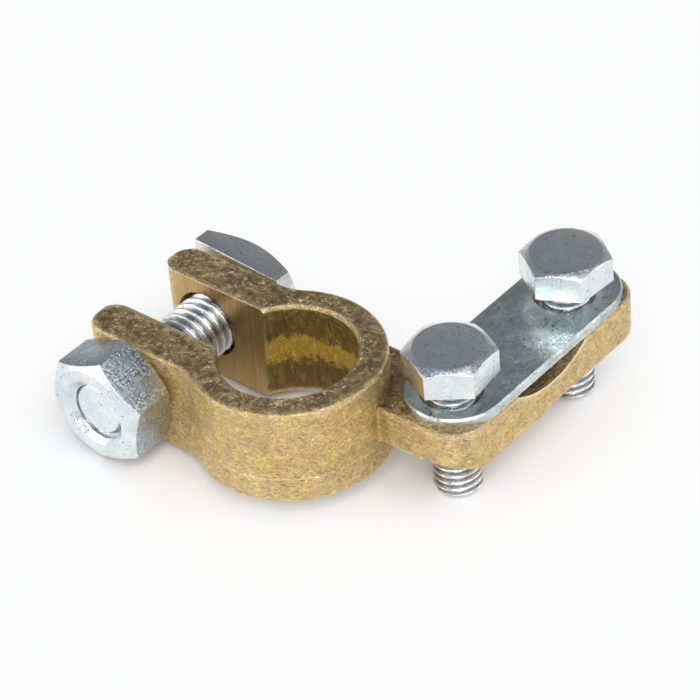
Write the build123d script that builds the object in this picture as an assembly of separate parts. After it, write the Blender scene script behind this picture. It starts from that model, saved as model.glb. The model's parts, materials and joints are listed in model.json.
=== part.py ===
from build123d import *
import math
import os

# Brass battery terminal clamp for a tapered battery post, with a bolted cable clip.
# Millimetres, +Z up. The origin is the centre of the ring's lower face, on the post's
# axis. The split ears point to -X, the cable foot lies on the +X side.

# ---------------------------------------------------------------- driving dimensions
# Ring round the battery post
ring_outer_d = 24.0
ring_height = 13.4
bore_top_d = 16.9
post_taper = 1 / 9          # growth of the bore's diameter per length, downwards
bore_rim_chamfer = 0.4
casting_edge_r = 0.55       # worn upper edges of the ring and ears
lower_edge_chamfer = 0.4

# Split ears, cast with the ring
slot_width = 8.5
ear_thickness = 5.35
ear_reach = 24.1            # ear tips, from the post's axis
ear_root_r = 6.0            # hollow between an ear's outer face and the ring

# Clamp bolt across the ears, square head, and its hexagon nut
bolt_d = 8.0
bolt_length = 25.5
bolt_to_ear_tip = 7.1
bolt_z = 7.1
bolt_head_size = 13.0
bolt_head_height = 4.0
bolt_head_face_d = 12.4     # where the head's rounded-off corners begin
bolt_head_turn = 4.4        # degrees, the side away from the ring stands higher
bolt_head_gap = 0.3         # the head stands this far off its ear
bolt_hole_clearance = 0.5   # on the radius, in the ears
bolt_end_chamfer = 0.9
nut_size = 13.0
nut_height = 6.8
nut_face_d = 11.9
nut_countersink_d = 8.9
nut_turn = 20.0

# Cable foot: a bar beside the ring on a short web
web_near_y = 1.65
parting_z = 4.15            # underside of the web
foot_top_z = 8.95
bar_inner_x = 12.1
bar_width = 12.2
bar_length = 36.6
bar_corner_r = 4.8
web_corner_r = 3.0
web_root_r = 0.4            # casting hollow where the web leaves the ring
bar_bottom_z = 2.95
pad_drop = 0.45             # the near half of the bar reaches lower than the far half
pad_step_y = 17.4
near_ramp = 4.4             # length of the sloped underside at the bar's near end
far_ramp = 1.6              # and at its far end
bar_bottom_r = 1.0
foot_edge_chamfer = 0.3
trough_depth = 2.1
trough_width = 13.6

# Cable screws and the clip plate
screw_d = 6.0
screw_length = 17.0
screw_x = 18.0
screw_near_y = 8.2
screw_spacing = 22.2
screw_far_drift = 0.3       # the far hole is drilled this much further from the ring
screw_head_size = 10.0
screw_head_height = 4.0
screw_head_face_d = 8.7
screw_end_chamfer = 0.6
screw_head_gap = 2.6        # both screws are slack, their heads stand off the plate
screw_turns = {"near": 36.5, "far": 26.2}
thread_clearance = 0.05     # on the radius, in every tapped hole
plate_thickness = 1.2
plate_width = 12.5
plate_length = 35.35
plate_x = 17.9
plate_end_to_screw = 5.55   # near end of the plate to the near screw's axis
plate_hole_d = 7.4
plate_turn = 0.3            # degrees, the slack plate lies a little askew
plate_edge_chamfer = 0.25   # sheared upper edge, outside and in the holes

# ------------------------------------------------------------------- derived places
ring_r = ring_outer_d / 2
bore_bottom_d = bore_top_d + ring_height * post_taper
slot_half = slot_width / 2
ear_outer_y = slot_half + ear_thickness
ear_tip_r = ear_thickness / 2
ear_tip_x = -ear_reach + ear_tip_r
ear_mid_y = slot_half + ear_tip_r
bolt_x = bolt_to_ear_tip - ear_reach
bar_mid_x = bar_inner_x + bar_width / 2
bar_far_y = web_near_y + bar_length
pad_bottom_z = bar_bottom_z - pad_drop
screw_far_y = screw_near_y + screw_spacing
screw_places = {"near": (screw_x, screw_near_y), "far": (screw_x + screw_far_drift, screw_far_y)}
trough_y = (screw_near_y + screw_far_y) / 2
plate_top_z = foot_top_z + plate_thickness
screw_seat_z = plate_top_z + screw_head_gap
bolt_seat_y = ear_outer_y + bolt_head_gap
nut_thread_r = bolt_d / 2 + thread_clearance
through = 4 * ring_height   # longer than any wall that it cuts
same = 0.02                 # two places closer than this are the same place


def rectangle_between(x0, x1, y0, y1):
    """Rectangle on the XY plane from corner to corner."""
    return Pos((x0 + x1) / 2, (y0 + y1) / 2) * Rectangle(x1 - x0, y1 - y0)


# --------------------------------------------------------------------- clamp body
def ring_and_ears():
    """The ring with its two ears still joined, and rounded outer edges."""
    plan = Circle(ring_r) + rectangle_between(-ear_reach, 0, -ear_outer_y, ear_outer_y)
    tips = [v for v in plan.vertices() if v.X < -ear_reach + ear_tip_r]
    plan = fillet(tips, ear_tip_r)
    root_x = -math.sqrt(ring_r**2 - ear_outer_y**2)
    roots = [v for v in plan.vertices() if abs(v.X - root_x) < same and abs(v.Y) > slot_half]
    plan = fillet(roots, ear_root_r)
    eye = extrude(plan, ring_height)
    eye = fillet(eye.edges().group_by(Axis.Z)[-1], casting_edge_r)
    return chamfer(eye.edges().group_by(Axis.Z)[0], lower_edge_chamfer)


def slot_cutter():
    """Machined slot from the ear tips into the bore, with a rounded mouth."""
    slot = rectangle_between(-2 * ear_reach, 0, -slot_half, slot_half)
    mouth = rectangle_between(-2 * ear_reach, ear_tip_x, -ear_mid_y, ear_mid_y)
    for side in (-1, 1):
        mouth -= Pos(ear_tip_x, side * ear_mid_y) * Circle(ear_tip_r)
    return Pos(0, 0, -ring_height) * extrude(slot + mouth, through)


def bore_cutter():
    """Tapered hole for the post, wider below."""
    top_r = bore_top_d / 2
    outside_z = 2 * ring_height
    profile = make_face(Polyline((0, 0), (bore_bottom_d / 2, 0), (top_r, ring_height),
                                 (top_r, outside_z), (0, outside_z), close=True))
    return revolve(Plane.XZ * profile, Axis.Z)


def trough_cutter():
    """Shallow round-bottomed seat for the bared cable, along X between the screws."""
    near_y, far_y = trough_y - trough_width / 2, trough_y + trough_width / 2
    above_z = foot_top_z + trough_depth
    bed = ThreePointArc((near_y, foot_top_z), (trough_y, foot_top_z - trough_depth),
                        (far_y, foot_top_z))
    rest = Polyline((far_y, foot_top_z), (far_y, above_z), (near_y, above_z),
                    (near_y, foot_top_z))
    start_x = bar_inner_x - 2 * web_corner_r
    section = Plane.YZ * make_face(bed + rest)
    return Pos(start_x, 0, 0) * extrude(section, bar_width + 4 * web_corner_r)


def bar_side_view():
    """Side view of the bar, ramped up to the parting line at both ends, as a long solid."""
    near_rise = parting_z - pad_bottom_z
    far_rise = parting_z - bar_bottom_z
    view = make_face(Polyline(
        (web_near_y - near_ramp, through), (web_near_y - near_ramp, parting_z + near_rise),
        (web_near_y + near_ramp, pad_bottom_z), (pad_step_y, pad_bottom_z),
        (pad_step_y + 2 * pad_drop, bar_bottom_z), (bar_far_y - far_ramp, bar_bottom_z),
        (bar_far_y + far_ramp, parting_z + far_rise), (bar_far_y + far_ramp, through),
        close=True))
    view = fillet([v for v in view.vertices() if v.Y < parting_z], bar_bottom_r)
    return extrude(Plane.YZ * view, through)


def foot():
    """Cable foot: the bar, rounded below, and the thin web that joins it to the ring."""
    outline = Pos(bar_mid_x, web_near_y + bar_length / 2) * RectangleRounded(
        bar_width, bar_length, bar_corner_r)
    bar = extrude(outline, foot_top_z) & bar_side_view()
    lower = [e for e in bar.edges().filter_by(Axis.X, reverse=True)
             if e.bounding_box().max.Z < parting_z + same]
    bar = fillet(lower, bar_bottom_r)

    plan = outline + Circle(ring_r) + rectangle_between(0, bar_mid_x, web_near_y, ring_r)
    plan = fillet(plan.vertices().sort_by_distance((bar_inner_x, ring_r))[0], web_corner_r)
    root = (math.sqrt(ring_r**2 - web_near_y**2), web_near_y)
    plan = fillet(plan.vertices().sort_by_distance(root)[0], web_root_r)
    plan &= rectangle_between(-ring_r, bar_mid_x, -ring_r, ring_r + web_corner_r)
    body = bar + Pos(0, 0, parting_z) * extrude(plan, foot_top_z - parting_z)
    upper = body.edges().filter_by_position(Axis.Z, foot_top_z, foot_top_z)
    return chamfer(upper, foot_edge_chamfer)


def clamp_body():
    """The whole casting: ring, ears and foot, then everything that is machined."""
    body = ring_and_ears() + foot()
    body -= trough_cutter()
    body -= slot_cutter() + bore_cutter()
    rim = [e for e in body.edges().filter_by(GeomType.CIRCLE)
           if abs(e.center().Z - ring_height) < same and abs(e.radius - bore_top_d / 2) < same]
    body = chamfer(rim, bore_rim_chamfer)
    bolt_hole_r = bolt_d / 2 + bolt_hole_clearance
    body -= Pos(bolt_x, 0, bolt_z) * Rot(90, 0, 0) * Cylinder(bolt_hole_r, through)
    for x, y in screw_places.values():
        body -= Pos(x, y, 0) * Cylinder(screw_d / 2 + thread_clearance, through)
    return body


# ---------------------------------------------------------------------- fasteners
def corner_cone(face_d, height, across_corners):
    """Cone that takes the corners off a head or nut, its small end at the given height."""
    reach = across_corners
    drop = reach * math.tan(math.radians(30))
    outline = Polyline((0, -height - drop), (face_d / 2 + reach, -height - drop),
                       (face_d / 2 + reach, height - drop), (face_d / 2, height),
                       (0, height), close=True)
    return revolve(Plane.XZ * make_face(outline), Axis.Z)


def head(side_count, size, height, face_d, turn):
    """Square or hexagon head standing on its seat at Z = 0, one corner turned from +X."""
    across_corners = size / math.cos(math.pi / side_count)
    outline = RegularPolygon(size / 2, side_count, major_radius=False)
    blank = Rot(0, 0, turn) * extrude(outline, height)
    return blank & corner_cone(face_d, height, across_corners)


def shank(diameter, length, end_chamfer):
    """Plain shank hanging from Z = 0, with a chamfered end."""
    rod = Pos(0, 0, -length / 2) * Cylinder(diameter / 2, length)
    return chamfer(rod.edges().group_by(Axis.Z)[0], end_chamfer)


def clamp_bolt():
    """Square-headed bolt through both ears, its head behind the far ear."""
    bolt = head(4, bolt_head_size, bolt_head_height, bolt_head_face_d, 45 + bolt_head_turn)
    bolt += shank(bolt_d, bolt_length, bolt_end_chamfer)
    return Pos(bolt_x, bolt_seat_y, bolt_z) * Rot(-90, 0, 0) * bolt


def clamp_nut():
    """Hexagon nut against the near ear, both of its faces chamfered."""
    across_corners = nut_size / math.cos(math.pi / 6)
    nut = head(6, nut_size, nut_height, nut_face_d, nut_turn)
    nut &= Pos(0, 0, nut_height) * Rot(180, 0, 0) * corner_cone(
        nut_face_d, nut_height, across_corners)
    nut -= Cylinder(nut_thread_r, 4 * nut_height)
    mouths = [e for e in nut.edges().filter_by(GeomType.CIRCLE)
              if abs(e.radius - nut_thread_r) < same]
    nut = chamfer(mouths, nut_countersink_d / 2 - nut_thread_r)
    return Pos(bolt_x, -ear_outer_y, bolt_z) * Rot(90, 0, 0) * nut


def cable_screw(name):
    """Hexagon screw through the plate into the foot, the near or the far one."""
    x, y = screw_places[name]
    screw = head(6, screw_head_size, screw_head_height, screw_head_face_d, screw_turns[name])
    screw += shank(screw_d, screw_length, screw_end_chamfer)
    return Pos(x, y, screw_seat_z) * screw


# --------------------------------------------------------------------- clip plate
def cable_plate():
    """Flat plate with round ends that clips the cable, lying on the foot."""
    middle_y = screw_near_y - plate_end_to_screw + plate_length / 2
    place = Pos(plate_x, middle_y, foot_top_z) * Rot(0, 0, plate_turn)
    plan = Rot(0, 0, 90) * SlotOverall(plate_length, plate_width)
    for y in (screw_near_y, screw_far_y):
        plan -= Pos(0, y - middle_y) * Circle(plate_hole_d / 2)
    plate = extrude(plan, plate_thickness)
    plate = chamfer(plate.edges().group_by(Axis.Z)[-1], plate_edge_chamfer)
    return place * plate


nodes = {
    "clamp_body": clamp_body(),
    "clamp_bolt": clamp_bolt(),
    "clamp_nut": clamp_nut(),
    "cable_plate": cable_plate(),
    "cable_screw_near": cable_screw("near"),
    "cable_screw_far": cable_screw("far"),
}

os.makedirs("parts", exist_ok=True)
for node_name, solid in nodes.items():
    export_step(solid, f"parts/{node_name}.step")
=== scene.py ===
import bpy
import bmesh
import json
from math import cos, pi, radians, sin
from mathutils import Matrix, Vector


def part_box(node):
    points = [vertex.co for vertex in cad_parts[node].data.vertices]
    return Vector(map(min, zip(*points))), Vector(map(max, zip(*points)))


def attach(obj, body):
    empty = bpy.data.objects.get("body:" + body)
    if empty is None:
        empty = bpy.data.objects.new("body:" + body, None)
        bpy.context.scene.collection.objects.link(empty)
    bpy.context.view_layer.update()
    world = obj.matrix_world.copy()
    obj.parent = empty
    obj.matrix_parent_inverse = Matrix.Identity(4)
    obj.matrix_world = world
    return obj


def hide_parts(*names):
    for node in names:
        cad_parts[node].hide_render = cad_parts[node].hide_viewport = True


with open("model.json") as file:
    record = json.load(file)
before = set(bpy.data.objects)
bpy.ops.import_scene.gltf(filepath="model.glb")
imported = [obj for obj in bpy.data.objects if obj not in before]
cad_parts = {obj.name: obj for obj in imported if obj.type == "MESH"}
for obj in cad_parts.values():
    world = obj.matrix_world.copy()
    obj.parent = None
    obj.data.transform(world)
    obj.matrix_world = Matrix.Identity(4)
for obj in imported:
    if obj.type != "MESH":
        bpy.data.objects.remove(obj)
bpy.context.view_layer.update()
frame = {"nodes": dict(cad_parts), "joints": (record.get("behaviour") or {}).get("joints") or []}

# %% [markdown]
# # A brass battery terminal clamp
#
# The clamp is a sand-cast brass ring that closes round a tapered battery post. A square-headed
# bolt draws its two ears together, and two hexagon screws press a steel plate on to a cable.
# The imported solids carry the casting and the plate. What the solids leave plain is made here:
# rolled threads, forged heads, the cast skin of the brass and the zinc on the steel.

MM = 0.001
nodes = frame["nodes"]

# %% [markdown]
# ## Places that every piece shares
#
# Each fastener's axis, seat and size could be typed in again, but a typed number drifts from the
# solid as soon as the solid changes. Here each is read from its own solid's box and joint, so a
# piece made here lies exactly where the solid lies. Only thread sizes are given, because the
# plain solids don't carry them. Sizes are in metres, written as millimetres times MM.

# %% Fastener places from the frame
joint_at = {j["name"]: Vector(j["pos_m"]) for j in frame["joints"] if j.get("pos_m")}
near_axis = joint_at["screw_near_turn"]
far_axis = joint_at["screw_far_turn"]
bolt_axis = joint_at["nut_turn"]
bolt_low, bolt_high = (Vector(corner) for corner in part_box("clamp_bolt"))
nut_low, nut_high = (Vector(corner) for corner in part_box("clamp_nut"))
screw_low, screw_high = (Vector(corner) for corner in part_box("cable_screw_near"))

SCREW_D = 6 * MM
SCREW_PITCH = 1.0 * MM
BOLT_D = 8 * MM
BOLT_PITCH = 1.25 * MM
BOLT_HEAD_H = 4 * MM
THREAD_ROOT = 0.58              # depth of a thread, per pitch
INTO_HEAD = 0.4 * MM            # the thread starts this far inside its head, so no gap shows
screw_length = near_axis.z - screw_low.z
bolt_seat = Vector((bolt_axis.x, bolt_high.y - BOLT_HEAD_H, bolt_axis.z))
bolt_length = bolt_seat.y - bolt_low.y
print("bolt axis", tuple(bolt_axis), "length", round(bolt_length / MM, 2), "mm")
print("nut from y", round(nut_low.y / MM, 2), "to", round(nut_high.y / MM, 2), "mm")

# %% [markdown]
# ## Helpers for node trees
#
# Shaders and Geometry Nodes are both trees of nodes joined by links. Written out in full, each
# node takes a line to make, one for each setting and one for each link, and the sum that they
# work out is lost among them. These helpers make a node and fill its inputs in one call, so that
# the lines below read like the sums they stand for.

# %% Making nodes
def add_node(tree, kind, values=(), **settings):
    """A node with its settings, and its inputs given as values or as sockets to link."""
    node = tree.nodes.new(kind)
    for name, value in settings.items():
        setattr(node, name, value)
    for key, value in dict(values).items():
        if isinstance(value, bpy.types.NodeSocket):
            tree.links.new(value, node.inputs[key])
        else:
            node.inputs[key].default_value = value
    return node


def split(tree, vector):
    """A vector's X, Y and Z."""
    return add_node(tree, "ShaderNodeSeparateXYZ", {"Vector": vector}).outputs


def stretched(tree, vector, scale, **turn):
    """A vector scaled along each axis, so that a pattern on it is drawn out."""
    node = add_node(tree, "ShaderNodeMapping", {"Vector": vector, "Scale": scale, **turn})
    return node.outputs[0]


# %% [markdown]
# ### Sums in node trees
#
# A Math node does one step: it adds, multiplies or compares two values. A sum of several steps is
# a chain of them. The helpers take any number of values and build the chain. A ramp is the one
# step that isn't plain arithmetic: it stretches a value between two limits, with soft ends, and
# most masks below are a noise or a distance put through a ramp.

# %% Sums
def maths(tree, operation, *values, clamp=False):
    """A Math node's result."""
    node = add_node(tree, "ShaderNodeMath", enumerate(values), operation=operation, use_clamp=clamp)
    return node.outputs[0]


def chain(tree, operation, first, *others):
    """One value after another taken into the same sum."""
    for value in others:
        first = maths(tree, operation, first, value)
    return first


def plus(tree, *values):
    """The values added up."""
    return chain(tree, "ADD", *values)


def times(tree, *values):
    """The values multiplied."""
    return chain(tree, "MULTIPLY", *values)


def minus(tree, value, less):
    """One value less another."""
    return maths(tree, "SUBTRACT", value, less)


def size_of(tree, value):
    """A value without its sign."""
    return maths(tree, "ABSOLUTE", value)


def ramp(tree, value, low, high, to_low=0.0, to_high=1.0):
    """A value stretched between two limits, soft at both ends."""
    node = add_node(tree, "ShaderNodeMapRange", {
        "Value": value, "From Min": low, "From Max": high, "To Min": to_low, "To Max": to_high},
        interpolation_type="SMOOTHSTEP")
    return node.outputs[0]


# %% [markdown]
# ## Rolled threads with Geometry Nodes
#
# A rolled thread is one long ridge wound round the shank, with soft crests. A profile swept along
# a helix would cross itself at the ends, so the thread is a tube whose every point is moved in or
# out by a rule instead. The phase of a point is its height over the pitch minus its turn round
# the axis, and the ridge follows that phase. The tree fades the ridge out towards the head and
# keeps the tip inside a chamfer. The same tree, a hair wider and with a mouth at both ends, is
# the wall of the nut's hole, so that bolt and nut stay in step.

# %% The thread's rule
def ridge_depth(tree, given, place, turn):
    """How far each point lies under the crest."""
    phase = minus(tree, maths(tree, "DIVIDE", place["Z"], given["Pitch"]),
                  maths(tree, "DIVIDE", turn, 2 * pi))
    # a triangle wave from 0 at the root to 1 at the crest, its corners softened
    wave = times(tree, maths(tree, "PINGPONG", phase, 0.5), 2.0)
    return times(tree, minus(tree, 1.0, ramp(tree, wave, 0.0, 1.0)), given["Root Depth"])


def wall_radius(tree, given, depth, below):
    """The wall's radius: plain by the head, then ridged, and chamfered or open at the ends."""
    fade = add_node(tree, "ShaderNodeMapRange", {
        "Value": below, "From Min": given["Plain Start"],
        "From Max": plus(tree, given["Plain Start"], given["Pitch"])}).outputs[0]
    ridged = minus(tree, given["Crest Radius"], times(tree, depth, fade))
    to_tip = minus(tree, given["Length"], below)
    chamfered = plus(tree, minus(tree, given["Crest Radius"], given["Tip Chamfer"]), to_tip)
    mouth = minus(tree, given["Mouth Radius"], maths(tree, "MINIMUM", below, to_tip))
    return maths(tree, "MAXIMUM", maths(tree, "MINIMUM", ridged, chamfered), mouth)


# %% [markdown]
# ### The thread's tree
#
# The tree starts from a plain tube and asks the rule for each point's radius. Its sizes are
# inputs, so one tree makes the screws, the bolt and the nut's hole. It ends in Realize Instances
# and Set Material, so that what leaves it is a plain mesh.

# %% The thread tree
THREAD_INPUTS = {
    "Crest Radius": 0.003, "Root Depth": 0.0005, "Pitch": 0.001, "Length": 0.01,
    "Start": 0.0, "Plain Start": 0.001, "Tip Chamfer": 0.0005, "Mouth Radius": 0.0}
DEFAULT_ROWS = 100
THREAD_SIDES = 80


def thread_interface(tree):
    """The tree's named inputs and its one output."""
    face = tree.interface
    face.new_socket("Geometry", in_out="INPUT", socket_type="NodeSocketGeometry")
    for name, value in THREAD_INPUTS.items():
        face.new_socket(name, in_out="INPUT", socket_type="NodeSocketFloat").default_value = value
    face.new_socket("Rows", in_out="INPUT", socket_type="NodeSocketInt").default_value = DEFAULT_ROWS
    face.new_socket("Material", in_out="INPUT", socket_type="NodeSocketMaterial")
    face.new_socket("Geometry", in_out="OUTPUT", socket_type="NodeSocketGeometry")
    return tree.nodes.new("NodeGroupInput").outputs


def thread_tree():
    """Tube along -Z whose wall follows a right-handed thread."""
    tree = bpy.data.node_groups.new("rolled_thread", "GeometryNodeTree")
    given = thread_interface(tree)
    tube = add_node(tree, "GeometryNodeMeshCylinder", {
        "Vertices": THREAD_SIDES, "Side Segments": given["Rows"], "Radius": given["Crest Radius"],
        "Depth": given["Length"]}, fill_type="NGON")
    middle = plus(tree, given["Start"], times(tree, given["Length"], 0.5))
    hang = add_node(tree, "ShaderNodeCombineXYZ", {"Z": times(tree, middle, -1.0)})
    tube = add_node(tree, "GeometryNodeTransform", {
        "Geometry": tube.outputs["Mesh"], "Translation": hang.outputs[0]})

    place = split(tree, add_node(tree, "GeometryNodeInputPosition").outputs[0])
    turn = maths(tree, "ARCTAN2", place["Y"], place["X"])
    below = minus(tree, times(tree, place["Z"], -1.0), given["Start"])
    radius = wall_radius(tree, given, ridge_depth(tree, given, place, turn), below)
    moved = add_node(tree, "ShaderNodeCombineXYZ", {
        "X": times(tree, radius, maths(tree, "COSINE", turn)),
        "Y": times(tree, radius, maths(tree, "SINE", turn)), "Z": place["Z"]})
    shaped = add_node(tree, "GeometryNodeSetPosition", {
        "Geometry": tube.outputs["Geometry"], "Position": moved.outputs[0]})
    real = add_node(tree, "GeometryNodeRealizeInstances", {"Geometry": shaped.outputs[0]})
    done = add_node(tree, "GeometryNodeSetMaterial", {
        "Geometry": real.outputs[0], "Material": given["Material"]})
    end = tree.nodes.new("NodeGroupOutput")
    tree.links.new(done.outputs[0], end.inputs[0])
    return tree


rolled_thread = thread_tree()
print("thread tree", len(rolled_thread.nodes), "nodes")

# %% [markdown]
# ### From the tree to a mesh
#
# A Geometry Nodes modifier works on an object, and only shows its result. To keep the result, an
# empty object carries the modifier, the evaluated object gives the mesh, and the carrier is
# removed. The same helper rounds the edges of a head with a Bevel modifier. Inputs are set by the
# socket's identifier, because two sockets may share a name.

# %% Meshes from modifiers
def evaluated_mesh(mesh, name, kind, set_up):
    """The mesh after a modifier of this kind, which set_up fills in."""
    carrier = bpy.data.objects.new(name, mesh)
    bpy.context.scene.collection.objects.link(carrier)
    set_up(carrier.modifiers.new(name, kind))
    evaluated = carrier.evaluated_get(bpy.context.evaluated_depsgraph_get())
    done = bpy.data.meshes.new_from_object(evaluated)
    bpy.data.objects.remove(carrier)
    return done


def run_tree(tree, name, sizes):
    """A new mesh made by the tree with these inputs."""
    sockets = {s.name: s.identifier for s in tree.interface.items_tree if s.in_out == "INPUT"}

    def set_up(modifier):
        modifier.node_group = tree
        for key, value in sizes.items():
            modifier[sockets[key]] = value

    return evaluated_mesh(bpy.data.meshes.new(name), name, "NODES", set_up)


# %% [markdown]
# ## Heads without their shanks
#
# The heads of the solids are already the right shape: a prism with its corners turned off by a
# cone. They could be modelled again, but then every size would have to be matched. Each is copied
# instead, its triangles are merged into whole faces and the plain shank or hole is cut away. A
# small bevel then rounds the edges, as forging does.

# %% Copying a head
HEAD_ROUNDING = 0.14 * MM
ROUNDING_STEPS = 3
SHARP_ANGLE = radians(20)
FLAT_ANGLE = radians(1.0)       # triangles that differ less than this are one face
MERGE_DISTANCE = 0.002 * MM
SEAT_MARGIN = 0.01 * MM


def forged_copy(node_name, is_shank):
    """A mesh of the node's solid in whole faces, without the points that is_shank picks."""
    work = bmesh.new()
    work.from_mesh(nodes[node_name].data)
    bmesh.ops.remove_doubles(work, verts=work.verts, dist=MERGE_DISTANCE)
    shank = [v for v in work.verts if is_shank(v.co)]
    bmesh.ops.delete(work, geom=shank, context="VERTS")
    bmesh.ops.dissolve_limit(work, angle_limit=FLAT_ANGLE, verts=work.verts, edges=work.edges)
    bmesh.ops.recalc_face_normals(work, faces=work.faces)
    return work


def rounded(work, name):
    """A mesh from the finished copy, with its sharp edges rounded."""
    mesh = bpy.data.meshes.new(name)
    work.to_mesh(mesh)
    work.free()
    for polygon in mesh.polygons:
        polygon.use_smooth = True

    def set_up(edge):
        edge.width = HEAD_ROUNDING
        edge.segments = ROUNDING_STEPS
        edge.limit_method = "ANGLE"
        edge.angle_limit = SHARP_ANGLE
        edge.harden_normals = True

    return evaluated_mesh(mesh, name, "BEVEL", set_up)


def head_mesh(node_name, seat, along):
    """The solid's head alone: what lies beyond its seat along the axis."""
    start = seat.dot(along)
    work = forged_copy(node_name, lambda co: co.dot(along) < start - SEAT_MARGIN)
    rim = [e for e in work.edges if e.is_boundary]
    bmesh.ops.holes_fill(work, edges=rim)
    return rounded(work, node_name + "_head")


# %% [markdown]
# ## Shader groups
#
# An effect that brass and steel share is built once as a node group and placed in each material
# with its own values. A group puts out only masks and heights. What a mask does to colour, gloss
# or relief is up to the material.

# %% Making shader groups
def shader_group(name, inputs, outputs):
    """An empty shader group with named float inputs and outputs, and a Vector input."""
    group = bpy.data.node_groups.new(name, "ShaderNodeTree")
    face = group.interface
    face.new_socket("Vector", in_out="INPUT", socket_type="NodeSocketVector")
    for key, value in inputs.items():
        face.new_socket(key, in_out="INPUT", socket_type="NodeSocketFloat").default_value = value
    for key in outputs:
        face.new_socket(key, in_out="OUTPUT", socket_type="NodeSocketFloat")
    given = group.nodes.new("NodeGroupInput").outputs
    return group, given, group.nodes.new("NodeGroupOutput").inputs


def noise(tree, vector, scale, detail=4.0, roughness=0.55, distortion=0.0):
    """Noise value between 0 and 1."""
    node = add_node(tree, "ShaderNodeTexNoise", {
        "Vector": vector, "Scale": scale, "Detail": detail, "Roughness": roughness,
        "Distortion": distortion})
    return node.outputs[0]


def wander(tree, vector, scale, span, detail=3.0, roughness=0.55):
    """An uneven shift round 0, up to about half the span each way."""
    return times(tree, minus(tree, noise(tree, vector, scale, detail, roughness), 0.5), span)


# %% [markdown]
# ### Bright edges and dark hollows
#
# Edges that stand proud are painted bright, as rubbed metal and as a painted highlight, and
# hollows are painted dark, as dirt and as painted shade. An ambient occlusion node finds both on
# any mesh: looking inwards it finds the edges, looking outwards the hollows. It looks only at the
# piece itself, so the marks stay on the piece when a joint moves. A noise breaks up the bright
# edge line. Reach is in metres.

# %% Edge wear and highlight, hollow dirt and shade
AO_SAMPLES = 6


def edge_wear_and_highlight_group():
    """Mask of proud edges, broken up by noise, for wear and painted highlight. Vector is in millimetres."""
    group, given, out = shader_group(
        "edge_wear_and_highlight", {"Reach": 0.0007, "Breakup": 0.5, "Grain": 1.6}, ["Edge"])
    inward = add_node(group, "ShaderNodeAmbientOcclusion", {"Distance": given["Reach"]},
                      inside=True, only_local=True, samples=AO_SAMPLES)
    broken = wander(group, given["Vector"], given["Grain"], given["Breakup"], 5.0, 0.6)
    edge = plus(group, minus(group, 1.0, inward.outputs["AO"]), broken)
    group.links.new(ramp(group, edge, 0.2, 0.46), out["Edge"])
    return group


def hollow_dirt_and_shade_group():
    """Mask of places that look into the piece's own hollows, for dirt and painted shade."""
    group, given, out = shader_group("hollow_dirt_and_shade", {"Reach": 0.0006}, ["Hollow"])
    outward = add_node(group, "ShaderNodeAmbientOcclusion", {"Distance": given["Reach"]},
                       only_local=True, samples=AO_SAMPLES)
    group.links.new(ramp(group, outward.outputs["AO"], 0.95, 0.55), out["Hollow"])
    return group


edge_wear_and_highlight = edge_wear_and_highlight_group()
hollow_dirt_and_shade = hollow_dirt_and_shade_group()
print("shader groups", edge_wear_and_highlight.name, hollow_dirt_and_shade.name)

# %% [markdown]
# ### What every material starts with
#
# Both metals are one Principled shader, fed by patterns in millimetres on object coordinates. A
# pattern in millimetres keeps its size from one piece to the next, and grain can be given the
# size it has on real metal. Relief comes as a bump on a normal that a Bevel node has softened,
# so the solids' sharp edges catch light as real ones do.

# %% Starting a material
BEVEL_SAMPLES = 4


def material_base(name):
    """A new material: its tree, its shader, object coordinates in millimetres and the normal."""
    material = bpy.data.materials.new(name)
    material.use_nodes = True
    tree = material.node_tree
    place = add_node(tree, "ShaderNodeTexCoord").outputs
    in_mm = stretched(tree, place["Object"], (1 / MM, 1 / MM, 1 / MM))
    return material, tree, tree.nodes["Principled BSDF"], in_mm, place["Normal"]


def use_group(tree, group, vector, **values):
    """A placed group with its own values."""
    return add_node(tree, "ShaderNodeGroup", {"Vector": vector, **values}, node_tree=group).outputs


def blend_colour(tree, mask, low, high):
    """Two colours mixed by a mask."""
    node = add_node(tree, "ShaderNodeMix", data_type="RGBA")
    tree.links.new(mask, node.inputs[0])
    for socket, colour in ((node.inputs[6], low), (node.inputs[7], high)):
        if isinstance(colour, bpy.types.NodeSocket):
            tree.links.new(colour, socket)
        else:
            socket.default_value = (*colour, 1.0)
    return node.outputs[2]


def bevelled_bump(tree, height, depth, radius):
    """Normal from a height in millimetres over softly rounded edges."""
    soft = add_node(tree, "ShaderNodeBevel", {"Radius": radius}, samples=BEVEL_SAMPLES)
    bump = add_node(tree, "ShaderNodeBump", {
        "Height": height, "Distance": depth, "Strength": 1.0, "Normal": soft.outputs[0]})
    return bump.outputs[0]


# %% [markdown]
# ## Cast brass
#
# Sand casting leaves a grainy skin with small pits, brown in its hollows and gold where hands
# and the tumbling barrel have rubbed it. The sand could be real relief in the mesh, but that
# would take millions of faces. Layers of noise make it as colour, gloss and bump instead: large
# patches, grain, bright flecks and pits. The bright flecks are painted glints as well as rubbed
# grains. All four come from one group, so that they agree.

# %% Cast skin
GRAIN_STRETCH = (0.7, 0.7, 1.4)
HEIGHT_WEIGHTS = {"lump": 0.9, "fleck": 0.13, "patch": 0.3, "pit": 0.1}


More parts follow.
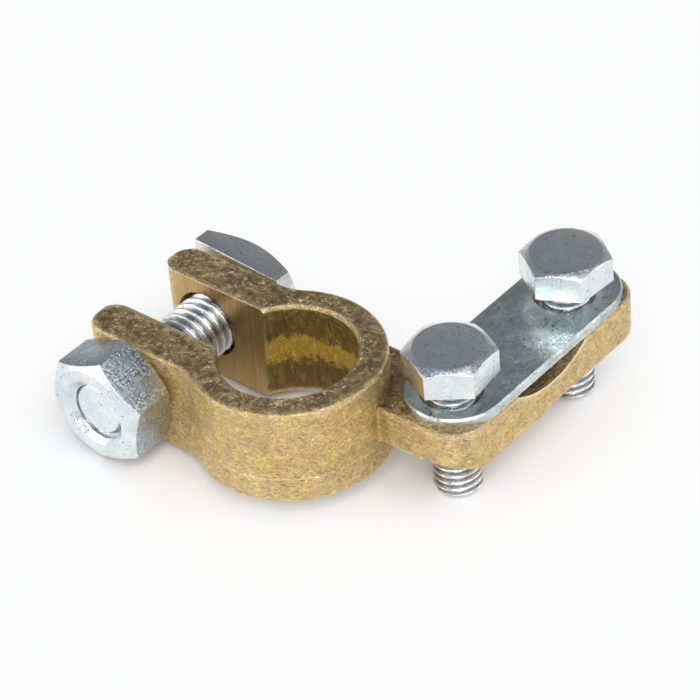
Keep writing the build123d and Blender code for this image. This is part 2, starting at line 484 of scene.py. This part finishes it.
def cast_skin_group():
    """Height, colour patches, sand grain and bright flecks. Vector is in millimetres."""
    group, given, out = shader_group("cast_skin", {"Patch Scale": 0.5, "Grain Scale": 2.8},
                                     ["Height", "Patch", "Grain", "Fleck"])
    vector = given["Vector"]
    drawn = stretched(group, vector, GRAIN_STRETCH)
    patch = noise(group, vector, given["Patch Scale"], 6.0, 0.62, 0.5)
    grain = noise(group, drawn, given["Grain Scale"], 6.0, 0.7, 0.8)
    fleck = ramp(group, noise(group, drawn, 1.9, 5.0, 0.68, 1.2), 0.56, 0.63)
    pits = add_node(group, "ShaderNodeTexVoronoi", {
        "Vector": vector, "Scale": 0.7, "Randomness": 1.0}, feature="F1")
    layers = {
        "lump": noise(group, drawn, 1.5, 8.0, 0.7, 0.9), "fleck": fleck, "patch": patch,
        "pit": ramp(group, pits.outputs["Distance"], 0.04, 0.2)}
    height = plus(group, *(times(group, layers[key], weight) for key, weight in HEIGHT_WEIGHTS.items()))
    group.links.new(height, out["Height"])
    group.links.new(ramp(group, patch, 0.34, 0.66), out["Patch"])
    group.links.new(ramp(group, grain, 0.35, 0.58), out["Grain"])
    group.links.new(fleck, out["Fleck"])
    return group


cast_skin = cast_skin_group()
print("cast skin", len(cast_skin.nodes), "nodes")

# %% [markdown]
# ### Where the casting is milled, rubbed or joined
#
# The casting has a sand skin outside, milled faces in its slot, a bore that the post rubs, and a
# low step where the mould's two halves met. Four materials would meet in hard lines along the
# mesh's triangles. Masks made from each point's place and direction keep one material, and
# their borders can be soft or ragged. Places are in millimetres from the bore's axis.

# %% Brass masks
SLOT_HALF = 4.25                # the slot's half width
SLOT_END_X = -4.0               # the milled faces end here, where the bore begins
BORE_REACH = 9.6                # the tapered bore lies within this radius
RIM_REACH = 10.8                # flecks fade out from the bore's rim to here
LIP_DROP = 1.5                  # a broken dark line runs this far under the bore's top
PARTING_Z = 3.7                 # height of the step between the mould's halves
ring_top_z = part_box("clamp_body")[1].z / MM


def milled_mask(tree, at, way):
    """1 on the slot's milled faces, which are flat across Y."""
    off = size_of(tree, minus(tree, size_of(tree, at["Y"]), SLOT_HALF))
    return times(tree, maths(tree, "LESS_THAN", off, 0.05), maths(tree, "LESS_THAN", at["X"], SLOT_END_X),
                 maths(tree, "GREATER_THAN", size_of(tree, way["Y"]), 0.9))


def bore_masks(tree, at, way, upward):
    """1 on the bore's wall, and a mask of the rim round it that fades outwards."""
    level = add_node(tree, "ShaderNodeCombineXYZ", {"X": at["X"], "Y": at["Y"]}).outputs[0]
    radius = add_node(tree, "ShaderNodeVectorMath", {0: level}, operation="LENGTH").outputs["Value"]
    in_bore = times(tree, maths(tree, "LESS_THAN", radius, BORE_REACH),
                    maths(tree, "LESS_THAN", size_of(tree, way["Z"]), 0.5))
    return in_bore, times(tree, ramp(tree, radius, BORE_REACH, RIM_REACH, 1.0, 0.0), upward)


def lip_mask(tree, at, wobble, in_bore):
    """A dark, broken line round the bore, a little under its top."""
    down = minus(tree, ring_top_z - LIP_DROP, plus(tree, at["Z"], wobble))
    line = ramp(tree, size_of(tree, down), 0.08, 0.3, 1.0, 0.0)
    return times(tree, line, in_bore, ramp(tree, wobble, -0.1, 0.1))


def upright_mask(tree, way, milled, in_bore):
    """1 on the outside's upright walls."""
    outside = times(tree, minus(tree, 1.0, milled), minus(tree, 1.0, in_bore))
    return times(tree, outside, ramp(tree, size_of(tree, way["Z"]), 0.3, 0.6, 1.0, 0.0))


print("ring top", round(ring_top_z, 2), "mm, parting line at", PARTING_Z, "mm")

# %% [markdown]
# ### The colours of the bore
#
# A battery post is pushed down into the bore and turned a little, which rubs the wall bright
# about half way up, all the way round, and leaves it brown above and below. The band's bright
# yellow is also a painted reflection of light caught in the bore. The band is a mask on height,
# and a noise added to the height makes its borders ragged. Upright streaks break up the rest.

# %% Brass in the bore
# the bore's bright yellow is rubbed brass and a painted reflection
BRASS_BORE_RUBBED_AND_REFLECTION = (1.0, 0.71, 0.13)
BRASS_BORE_BROWN = (0.17, 0.105, 0.05)
RUBBED_Z = 6.9                  # middle of the rubbed band
RUBBED_NEAR = 1.2               # fully rubbed this close to the middle
RUBBED_FAR = 2.4                # not rubbed beyond this
RAGGED_SPAN = 6.0
STREAK_STRETCH = (1.6, 1.6, 0.5)


def bore_finish(tree, mm, at):
    """The bore's colour and its streaks."""
    ragged = wander(tree, mm, 0.9, RAGGED_SPAN, 5.0, 0.65)
    off = size_of(tree, minus(tree, plus(tree, at["Z"], ragged), RUBBED_Z))
    rubbed_and_highlight = ramp(tree, off, RUBBED_NEAR, RUBBED_FAR, 1.0, 0.0)
    streaks = noise(tree, stretched(tree, mm, STREAK_STRETCH), 1.3, 4.0, 0.65)
    streaks = ramp(tree, streaks, 0.38, 0.62)
    tone = times(tree, plus(tree, 0.3, times(tree, rubbed_and_highlight, 0.7)),
                 plus(tree, 0.35, times(tree, streaks, 0.65)))
    # the bright band: rubbed brass and a painted reflection
    tone = maths(tree, "MAXIMUM", tone, times(tree, rubbed_and_highlight, 0.85))
    return blend_colour(tree, tone, BRASS_BORE_BROWN, BRASS_BORE_RUBBED_AND_REFLECTION), streaks


print("rubbed band", RUBBED_Z - RUBBED_FAR, "to", RUBBED_Z + RUBBED_FAR, "mm")

# %% [markdown]
# ### Dirt, painted shade and rubbed metal on the casting
#
# Faces that look up are painted darker, a painted shade for the dark room that they mirror. The
# low places of the grain and the hollows are painted brown, as dirt and as painted shade. Rubbing
# brightens the flecks that stand proud, the edges and parts of the mould's seam, and on the
# flecks and edges this brightness is also a painted highlight. Each is a sum of masks, weighted
# by how strongly it shows.

# %% Dirt and painted shade, rubbing and painted highlights
def dirt_and_shade_mask(tree, skin, upward, hollow, lip):
    """How brown each point is: dirt, and painted shade on faces that look up and in hollows."""
    low_grain = ramp(tree, skin["Height"], 0.82, 0.6)
    in_grain = times(tree, low_grain, plus(tree, 0.16, times(tree, upward, 0.4)))
    dirt = plus(tree, times(tree, upward, 0.34), in_grain, times(tree, hollow, 0.3))
    return maths(tree, "ADD", dirt, times(tree, lip, 0.7), clamp=True)


def rubbed_and_highlight_mask(tree, skin, edge, seam, in_bore, by_rim, wobble):
    """How bright each point is: rubbed metal, and painted highlights on flecks and edges."""
    flecks = times(tree, skin["Fleck"], plus(tree, 0.4, times(tree, by_rim, 0.5)), minus(tree, 1.0, in_bore))
    seam = times(tree, seam, times(tree, ramp(tree, wobble, -0.2, 0.25), 0.35))
    return maths(tree, "MAXIMUM", maths(tree, "MAXIMUM", flecks, edge), seam)


# %% [markdown]
# ### The whole brass material
#
# The parts come together from the bottom up: gold and brown patches broken by grain, the bore,
# the dirt and painted shade, the rubbed metal and painted highlights, and last the milled faces
# with the cutter's fine lines. Brighter metal is also smoother, so the same masks drive the
# roughness and the relief.

# %% Brass material
BRASS_GOLD = (1.0, 0.735, 0.275)
BRASS_ROSE = (1.0, 0.735, 0.35)
BRASS_SKIN = (0.38, 0.23, 0.115)
# the next colour is rubbed brass and, on edges and flecks, a painted highlight
BRASS_WORN_AND_HIGHLIGHT = (1.0, 0.90, 0.56)
# the next brown is dirt and, on faces that look up and in hollows, painted shade
BRASS_BROWN = (0.21, 0.138, 0.078)
MILLED_DARK = (0.46, 0.295, 0.12)
MILLED_BRIGHT = (0.70, 0.49, 0.225)
CUTTER_STRETCH = (7.0, 1.0, 0.1)
EDGE_REACH = 0.0010
HOLLOW_REACH = 0.0025
BUMP_DEPTH = 0.3 * MM
EDGE_RADIUS = 0.18 * MM


def brass_relief(tree, skin, edge, milled, lip, parting, streaks, lines):
    """Height in millimetres: cast skin, or the cutter's lines on milled faces."""
    cast = times(tree, skin["Height"], minus(tree, 1.2, times(tree, edge, 0.9)))
    cast = minus(tree, plus(tree, cast, parting, times(tree, streaks, 1.1)), times(tree, lip, 0.5))
    return add_node(tree, "ShaderNodeMix", {0: milled, 2: cast, 3: times(tree, lines, 0.05)},
                    data_type="FLOAT").outputs[0]


def brass_material():
    """Cast brass with milled ear faces."""
    material, tree, shader, mm, normal = material_base("cast_brass")
    at = split(tree, mm)
    way = split(tree, normal)
    skin = use_group(tree, cast_skin, mm)
    edge = use_group(tree, edge_wear_and_highlight, mm, Reach=EDGE_REACH, Breakup=0.4, Grain=2.0)["Edge"]
    hollow = use_group(tree, hollow_dirt_and_shade, mm, Reach=HOLLOW_REACH)["Hollow"]
    upward = ramp(tree, way["Z"], 0.6, 0.95)
    wobble = wander(tree, mm, 0.5, 1.2)
    milled = milled_mask(tree, at, way)
    in_bore, by_rim = bore_masks(tree, at, way, upward)
    lip = lip_mask(tree, at, wobble, in_bore)
    upright = upright_mask(tree, way, milled, in_bore)
    above = minus(tree, plus(tree, at["Z"], times(tree, wobble, 0.4)), PARTING_Z)
    seam = times(tree, ramp(tree, size_of(tree, above), 0.05, 0.2, 1.0, 0.0), upright)
    parting = times(tree, ramp(tree, above, -0.2, 0.1, 0.35, 0.0), upright)

    tone = plus(tree, times(tree, skin["Patch"], 0.28), times(tree, skin["Grain"], 0.72))
    rosy = ramp(tree, noise(tree, mm, 0.22, 3.0, 0.55, 0.6), 0.42, 0.6)
    colour = blend_colour(tree, tone, BRASS_SKIN, blend_colour(tree, rosy, BRASS_GOLD, BRASS_ROSE))
    bore_colour, streaks = bore_finish(tree, mm, at)
    colour = blend_colour(tree, in_bore, colour, bore_colour)
    # dirt and painted shade: darker on faces that look up, in low grain and in hollows
    colour = blend_colour(tree, dirt_and_shade_mask(tree, skin, upward, hollow, lip), colour, BRASS_BROWN)
    # rubbed metal, with painted highlights on flecks and edges
    rubbed_and_highlight = rubbed_and_highlight_mask(tree, skin, edge, seam, in_bore, by_rim, wobble)
    colour = blend_colour(tree, rubbed_and_highlight, colour, BRASS_WORN_AND_HIGHLIGHT)
    lines = noise(tree, stretched(tree, mm, CUTTER_STRETCH), 1.0, 3.0, 0.6)
    milled_colour = blend_colour(tree, ramp(tree, lines, 0.3, 0.7), MILLED_DARK, MILLED_BRIGHT)
    tree.links.new(blend_colour(tree, milled, colour, milled_colour), shader.inputs["Base Color"])

    shader.inputs["Metallic"].default_value = 1.0
    gloss = minus(tree, ramp(tree, tone, 0.0, 1.0, 0.38, 0.27), times(tree, edge, 0.13))
    tree.links.new(plus(tree, gloss, times(tree, milled, 0.04)), shader.inputs["Roughness"])
    height = brass_relief(tree, skin, edge, milled, lip, parting, times(tree, streaks, in_bore), lines)
    tree.links.new(bevelled_bump(tree, height, BUMP_DEPTH, EDGE_RADIUS), shader.inputs["Normal"])
    return material


brass = brass_material()
print("made", brass.name, "with", len(brass.node_tree.nodes), "nodes")

# %% [markdown]
# ## Zinc-plated steel
#
# Bright zinc is a cool, bluish mirror, a little cloudy where the bath left its grain. Pure gloss
# would look like chrome, so a group gives it clouds, fine frost, small dark specks and scratches,
# and each material takes as much of them as its piece carries.

# %% Zinc skin
SCRATCH_STRETCH = (5.0, 0.6, 3.0)
SCRATCH_TURN = (0.0, 0.0, 0.9)


def zinc_skin_group():
    """Cloud, frost, specks, scratches and a fine height of plated steel. Vector is in millimetres."""
    group, given, out = shader_group("zinc_skin", {"Cloud Scale": 0.4, "Scratch Scale": 1.0},
                                     ["Cloud", "Frost", "Speck", "Scratch", "Height"])
    vector = given["Vector"]
    drawn = stretched(group, vector, SCRATCH_STRETCH, Rotation=SCRATCH_TURN)
    cloud = noise(group, vector, given["Cloud Scale"], 4.0, 0.55, 0.4)
    frost = ramp(group, noise(group, vector, 3.4, 4.0, 0.75), 0.46, 0.66)
    scratch = noise(group, drawn, given["Scratch Scale"], 4.0, 0.7)
    height = plus(group, times(group, scratch, 0.5), times(group, frost, 0.3), cloud)
    group.links.new(ramp(group, cloud, 0.25, 0.75), out["Cloud"])
    group.links.new(frost, out["Frost"])
    group.links.new(ramp(group, noise(group, vector, 2.4, 2.0, 0.5), 0.66, 0.72), out["Speck"])
    group.links.new(ramp(group, scratch, 0.58, 0.68), out["Scratch"])
    group.links.new(height, out["Height"])
    return group


zinc_skin = zinc_skin_group()
print("zinc skin", len(zinc_skin.nodes), "nodes")

# %% [markdown]
# ### Three finishes of zinc
#
# Screws and bolt are bright and nearly clean. The nut has dark frost on its flats, but not on its
# faces, which lie across Y and are rubbed in the barrel. The plate is sheared from rolled strip,
# so it is duller and scratched. One function makes all three from a table of their values.

# %% Zinc materials
# the next grey is painted shade in grooves and hollows, with some dirt
GROOVE_SHADE_GREY = (0.05, 0.065, 0.075)
FROST_BLUE = (0.23, 0.29, 0.34)
SCRATCH_GREY = (0.2, 0.22, 0.22)
SPECK_GREY = (0.18, 0.2, 0.21)
RUBBED_ZINC = (0.95, 0.96, 0.98)
ZINC_EDGE_REACH = 0.0004
ZINC_HOLLOW_REACH = 0.0007
ZINC_EDGE_RADIUS = 0.12 * MM
ZINC_FINISHES = {
    "zinc_bright": {"clear": (0.90, 0.93, 0.94), "cloudy": (0.74, 0.79, 0.82), "gloss": (0.13, 0.28),
                    "depth": 0.035 * MM, "frosted": 0.0, "scratched": 0.25},
    "zinc_frosted": {"clear": (0.90, 0.94, 0.95), "cloudy": (0.70, 0.76, 0.79), "gloss": (0.16, 0.34),
                     "depth": 0.05 * MM, "frosted": 0.8, "scratched": 0.1},
    "zinc_plate": {"clear": (0.70, 0.77, 0.77), "cloudy": (0.50, 0.58, 0.58), "gloss": (0.13, 0.28),
                   "depth": 0.045 * MM, "frosted": 0.0, "scratched": 0.8}}


def zinc_material(name, clear, cloudy, gloss, depth, frosted, scratched):
    """Plated steel: two colours, (least, most) roughness, bump depth, and how worked it is."""
    material, tree, shader, mm, normal = material_base(name)
    skin = use_group(tree, zinc_skin, mm)
    edge = use_group(tree, edge_wear_and_highlight, mm, Reach=ZINC_EDGE_REACH, Breakup=0.3, Grain=2.0)["Edge"]
    hollow = use_group(tree, hollow_dirt_and_shade, mm, Reach=ZINC_HOLLOW_REACH)["Hollow"]
    along_y = size_of(tree, split(tree, normal)["Y"])
    flats = times(tree, ramp(tree, along_y, 0.3, 0.6, 1.0, 0.0), frosted)
    layers = (
        (times(tree, flats, minus(tree, 1.0, skin["Frost"])), FROST_BLUE),
        (times(tree, skin["Scratch"], scratched), SCRATCH_GREY),
        (times(tree, skin["Speck"], 0.6), SPECK_GREY),
        (times(tree, edge, 0.55), RUBBED_ZINC),
        # painted shade in the threads' grooves and other hollows
        (times(tree, hollow, 0.7), GROOVE_SHADE_GREY))
    base = blend_colour(tree, skin["Cloud"], clear, cloudy)
    for mask, colour in layers:
        base = blend_colour(tree, mask, base, colour)
    tree.links.new(base, shader.inputs["Base Color"])
    shader.inputs["Metallic"].default_value = 1.0
    tree.links.new(ramp(tree, skin["Cloud"], 0.0, 1.0, *gloss), shader.inputs["Roughness"])
    tree.links.new(bevelled_bump(tree, skin["Height"], depth, ZINC_EDGE_RADIUS), shader.inputs["Normal"])
    return material


zinc = {name: zinc_material(name, **finish) for name, finish in ZINC_FINISHES.items()}
print("made", *zinc)

# %% [markdown]
# ## Threads and heads together
#
# A screw is one forged piece, so its head and thread leave here as one object. They could be
# merged with a Boolean, but joining them is enough, because the thread starts inside the head.
# The piece rides on the body of the solid that it replaces.

# %% Putting a fastener together
THREAD_SHARP = radians(32)


def threaded(place, **sizes):
    """A thread made by the tree and moved to its place. Sizes are the tree's inputs."""
    named = {key.replace("_", " ").title(): value for key, value in sizes.items()}
    mesh = run_tree(rolled_thread, "thread", named)
    mesh.transform(place)
    for polygon in mesh.polygons:
        polygon.use_smooth = True
    mesh.set_sharp_from_angle(angle=THREAD_SHARP)
    return mesh


def fastener(name, body, replaced, parts, material):
    """One piece from its meshes, riding on its body in place of the plain solid."""
    objects = []
    for mesh in parts:
        part = bpy.data.objects.new(name, mesh)
        bpy.context.scene.collection.objects.link(part)
        mesh.materials.clear()
        mesh.materials.append(material)
        objects.append(part)
    with bpy.context.temp_override(active_object=objects[0], selected_editable_objects=objects,
                                   selected_objects=objects):
        bpy.ops.object.join()
    piece = objects[0]
    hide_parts(replaced)
    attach(piece, body)
    print(name, len(piece.data.polygons), "faces")
    return piece


# %% [markdown]
# ## Cable screws
#
# Two M6 hexagon screws clamp the plate, and a short plain neck lies between head and thread. The
# two are alike, so one loop makes both. Rows per turn are set from the pitch, so that every ridge
# has the same number of faces whatever its size.

# %% Cable screws
UP = Vector((0, 0, 1))
ROWS_PER_PITCH = 18
for side, axis in (("near", near_axis), ("far", far_axis)):
    node_name = "cable_screw_" + side
    thread = threaded(
        Matrix.Translation(axis), crest_radius=SCREW_D / 2, root_depth=THREAD_ROOT * SCREW_PITCH,
        pitch=SCREW_PITCH, length=screw_length + INTO_HEAD, start=-INTO_HEAD, plain_start=1.6 * MM,
        tip_chamfer=0.6 * MM, rows=int(screw_length / SCREW_PITCH * ROWS_PER_PITCH),
        material=zinc["zinc_bright"])
    fastener(side + "_hexagon_screw", "screw_" + side, node_name,
             [head_mesh(node_name, axis, UP), thread], zinc["zinc_bright"])

# %% [markdown]
# ## Clamp bolt
#
# The bolt lies across the ears, its square head on the far side. The thread tree hangs its tube
# along -Z, so the tube is turned until it points along -Y, from the head towards the nut.

# %% Clamp bolt
TO_FAR_EAR = Vector((0, 1, 0))
bolt_place = Matrix.Translation(bolt_seat) @ Matrix.Rotation(radians(-90), 4, "X")
bolt_thread = threaded(
    bolt_place, crest_radius=BOLT_D / 2, root_depth=THREAD_ROOT * BOLT_PITCH, pitch=BOLT_PITCH,
    length=bolt_length + INTO_HEAD, start=-INTO_HEAD, plain_start=1.2 * MM, tip_chamfer=0.9 * MM,
    rows=int(bolt_length / BOLT_PITCH * ROWS_PER_PITCH), material=zinc["zinc_bright"])
fastener("square_head_bolt", "clamp_bolt", "clamp_bolt",
         [head_mesh("clamp_bolt", bolt_seat, TO_FAR_EAR), bolt_thread], zinc["zinc_bright"])

# %% [markdown]
# ## Nut
#
# A nut is the other half of a thread. Its outside is copied from the solid, and its hole is the
# bolt's own thread, a little wider, with the faces turned to look inwards. The tree starts the
# ridge at the nut's distance from the bolt's seat, so the ridges of both lie in step.

# %% Nut
NUT_MOUTH_R = 4.45 * MM
NUT_CLEARANCE = 0.06 * MM
MOUTH_MARGIN = 0.02 * MM
nut_height = nut_high.y - nut_low.y


def nut_shell():
    """The nut's outside without its plain hole and mouths."""
    def in_hole(co):
        return Vector((co.x - bolt_axis.x, 0, co.z - bolt_axis.z)).length < NUT_MOUTH_R - MOUTH_MARGIN

    return rounded(forged_copy("clamp_nut", in_hole), "nut_shell")


def nut_hole():
    """The tapped hole in step with the bolt's thread, its wall facing inwards."""
    mesh = threaded(
        bolt_place, crest_radius=BOLT_D / 2 + NUT_CLEARANCE, root_depth=THREAD_ROOT * BOLT_PITCH,
        pitch=BOLT_PITCH, length=nut_height, start=bolt_seat.y - nut_high.y, plain_start=-BOLT_PITCH,
        tip_chamfer=0.0, mouth_radius=NUT_MOUTH_R, rows=int(nut_height / BOLT_PITCH * ROWS_PER_PITCH),
        material=zinc["zinc_bright"])
    work = bmesh.new()
    work.from_mesh(mesh)
    caps = [f for f in work.faces if len(f.verts) > 4]
    bmesh.ops.delete(work, geom=caps, context="FACES_ONLY")
    bmesh.ops.reverse_faces(work, faces=work.faces)
    work.to_mesh(mesh)
    work.free()
    return mesh


fastener("hexagon_nut", "clamp_nut", "clamp_nut", [nut_shell(), nut_hole()], zinc["zinc_frosted"])

# %% [markdown]
# ## Casting and plate
#
# These two need no new shape. Their solids already have every form that shows, so they only get
# their finish, and their meshes are left alone.

# %% Casting and plate keep their solids
for node_name, material in (("clamp_body", brass), ("cable_plate", zinc["zinc_plate"])):
    mesh = nodes[node_name].data
    mesh.materials.clear()
    mesh.materials.append(material)
    print(node_name, "in", material.name)

# %% [markdown]
# ## The board it lies on
#
# The clamp lies on its ear tips and the ends of the cable screws, which tilts it a few degrees.
# The board is tilted instead, because the clamp stays in its own frame. More light would turn the
# board white but bleach the metal too. So the board glows at a strength of 1, which is
# plain white, only for the camera and for rays off glossy or through clear things. The glow fades
# where something stands close above, and there the lamps' own shadow shows.

# %% Board
REST_NORMAL = Vector((0.1075, 0.0, 0.9942)).normalized()
REST_POINT = Vector((-23.7, 0.0, -0.03)) * MM
FLOOR_HALF = 1.2
BOARD_WHITE = (0.93, 0.93, 0.93, 1.0)
GLOW_WHITE = (1.0, 1.0, 1.0, 1.0)
FLOOR_GLOW = 0.84               # share of the glow in the board's look
SHADOW_REACH = 14 * MM
BOARD_CORNERS = ((-1, -1), (1, -1), (1, 1), (-1, 1))


def floor_material():
    """Matt white board that looks white in the picture and in metal, and keeps the clamp's shadow."""
    material = bpy.data.materials.new("white_board")
    material.use_nodes = True
    tree = material.node_tree
    shader = tree.nodes["Principled BSDF"]
    shader.inputs["Base Color"].default_value = BOARD_WHITE
    shader.inputs["Roughness"].default_value = 0.95
    shader.inputs["Specular IOR Level"].default_value = 0.1
    ray = add_node(tree, "ShaderNodeLightPath").outputs
    seen = chain(tree, "MAXIMUM", ray["Is Camera Ray"], ray["Is Glossy Ray"], ray["Is Transmission Ray"])
    open_above = add_node(tree, "ShaderNodeAmbientOcclusion", {"Distance": SHADOW_REACH}, samples=8)
    seen = times(tree, seen, ramp(tree, open_above.outputs["AO"], 0.3, 0.95))
    glow = add_node(tree, "ShaderNodeEmission", {"Color": GLOW_WHITE, "Strength": 1.0})
    mixed = add_node(tree, "ShaderNodeMixShader", {
        0: times(tree, seen, FLOOR_GLOW), 1: shader.outputs[0], 2: glow.outputs[0]})
    tree.links.new(mixed.outputs[0], tree.nodes["Material Output"].inputs["Surface"])
    return material


across = Vector((0, 1, 0))
along = across.cross(REST_NORMAL)
corners = [tuple(REST_POINT + FLOOR_HALF * (sx * along + sy * across)) for sx, sy in BOARD_CORNERS]
floor_mesh = bpy.data.meshes.new("floor")
floor_mesh.from_pydata(corners, [], [(0, 1, 2, 3)])
if floor_mesh.polygons[0].normal.z < 0:
    floor_mesh.flip_normals()
floor_mesh.materials.append(floor_material())
floor = bpy.data.objects.new("floor", floor_mesh)
bpy.context.scene.collection.objects.link(floor)
print("board faces", tuple(round(v, 3) for v in floor_mesh.polygons[0].normal))

# %% [markdown]
# ## Camera
#
# A camera is a place, a direction and a lens. It could be aimed with a Track To constraint, but
# then its roll can't be set. Three directions at right angles, built from azimuth, elevation
# and roll, fill the camera's matrix directly. The lens is given in pixels of a square picture and
# turned into millimetres on a 36 mm sensor.

# %% Camera
AZIMUTH = radians(42.54)
ELEVATION = radians(38.33)
ROLL = radians(-5.36)
DISTANCE = 412.2 * MM
TARGET = Vector((7.6, 2.64, 15.14)) * MM
FOCAL_PIXELS = 3536.77
IMAGE_PIXELS = 700
SENSOR_WIDTH = 36.0


def direction(azimuth, elevation):
    """Unit vector from the clamp to a place at these angles."""
    return Vector((sin(azimuth) * cos(elevation), -cos(azimuth) * cos(elevation), sin(elevation)))


back = direction(AZIMUTH, ELEVATION)
right = Vector((cos(AZIMUTH), sin(AZIMUTH), 0))
up = back.cross(right)
turned_right = cos(ROLL) * right + sin(ROLL) * up
turned_up = -sin(ROLL) * right + cos(ROLL) * up
camera_data = bpy.data.cameras.new("camera")
camera_data.sensor_width = SENSOR_WIDTH
camera_data.lens = FOCAL_PIXELS / IMAGE_PIXELS * SENSOR_WIDTH
camera_data.clip_start = 0.01
camera = bpy.data.objects.new("camera", camera_data)
camera.matrix_world = Matrix.Translation(TARGET + back * DISTANCE) @ Matrix(
    (turned_right, turned_up, back)).transposed().to_4x4()
bpy.context.scene.collection.objects.link(camera)
bpy.context.scene.camera = camera
print("lens", round(camera_data.lens, 2), "mm")

# %% [markdown]
# ## Lamps
#
# Metal shows what is round it, so its light is a matter of what it mirrors. Small lamps would
# make hard, tiny glints. Four large softboxes make broad, soft ones: a strong one in front, a
# fill beside it and a low one on each side for the upright faces. Each is placed by its angles
# round the clamp, its distance and its size, all in metres.

# %% Lamps
SOFTBOXES = {
    # name: degrees to the right of the front, degrees up, distance, size, radiance
    "front_softbox": (-4, 44, 0.9, 0.5, 6.5),
    "fill_softbox": (45, 55, 0.9, 0.4, 3.0),
    "left_softbox": (-80, 18, 0.8, 0.5, 3.0),
    "right_softbox": (85, 16, 0.8, 0.5, 1.6)}


def softbox(name, turn, elevation, distance, size, radiance):
    """A square lamp that looks at the clamp."""
    way = direction(AZIMUTH + radians(turn), radians(elevation))
    data = bpy.data.lights.new(name, "AREA")
    data.shape = "SQUARE"
    data.size = size
    data.energy = radiance * pi * size**2
    lamp = bpy.data.objects.new(name, data)
    lamp.location = TARGET + way * distance
    lamp.rotation_euler = way.to_track_quat("Z", "Y").to_euler()
    bpy.context.scene.collection.objects.link(lamp)
    print(name, round(data.energy, 2), "W")


for lamp_name, place in SOFTBOXES.items():
    softbox(lamp_name, *place)

# %% [markdown]
# ## The room round it
#
# A room that is evenly white makes metal look flat. This one is grey at the height of the board
# and darker overhead, so faces that look up mirror the dark and stand out from the upright ones.
# The greys are a ramp on the height of the direction that a ray leaves in.

# %% World
ROOM_GREYS = (
    (0.0, (0.5, 0.5, 0.5, 1)), (0.22, (0.36, 0.37, 0.38, 1)), (0.42, (0.24, 0.245, 0.25, 1)),
    (0.75, (0.19, 0.2, 0.215, 1)), (1.0, (0.12, 0.15, 0.2, 1)))


def studio_world():
    """A dark room: grey near the board, darker higher up and bluish overhead."""
    world = bpy.data.worlds.new("studio")
    world.use_nodes = True
    tree = world.node_tree
    way = add_node(tree, "ShaderNodeTexCoord").outputs["Generated"]
    fade = add_node(tree, "ShaderNodeValToRGB", {"Fac": split(tree, way)["Z"]})
    stops = fade.color_ramp.elements
    stops[0].color = ROOM_GREYS[0][1]
    stops[-1].color = ROOM_GREYS[-1][1]
    for height, grey in ROOM_GREYS[1:-1]:
        stops.new(height).color = grey
    tree.links.new(fade.outputs[0], tree.nodes["Background"].inputs["Color"])
    print("world ramp", len(stops), "stops")
    return world


bpy.context.scene.world = studio_world()
bpy.context.scene.view_settings.view_transform = "Standard"
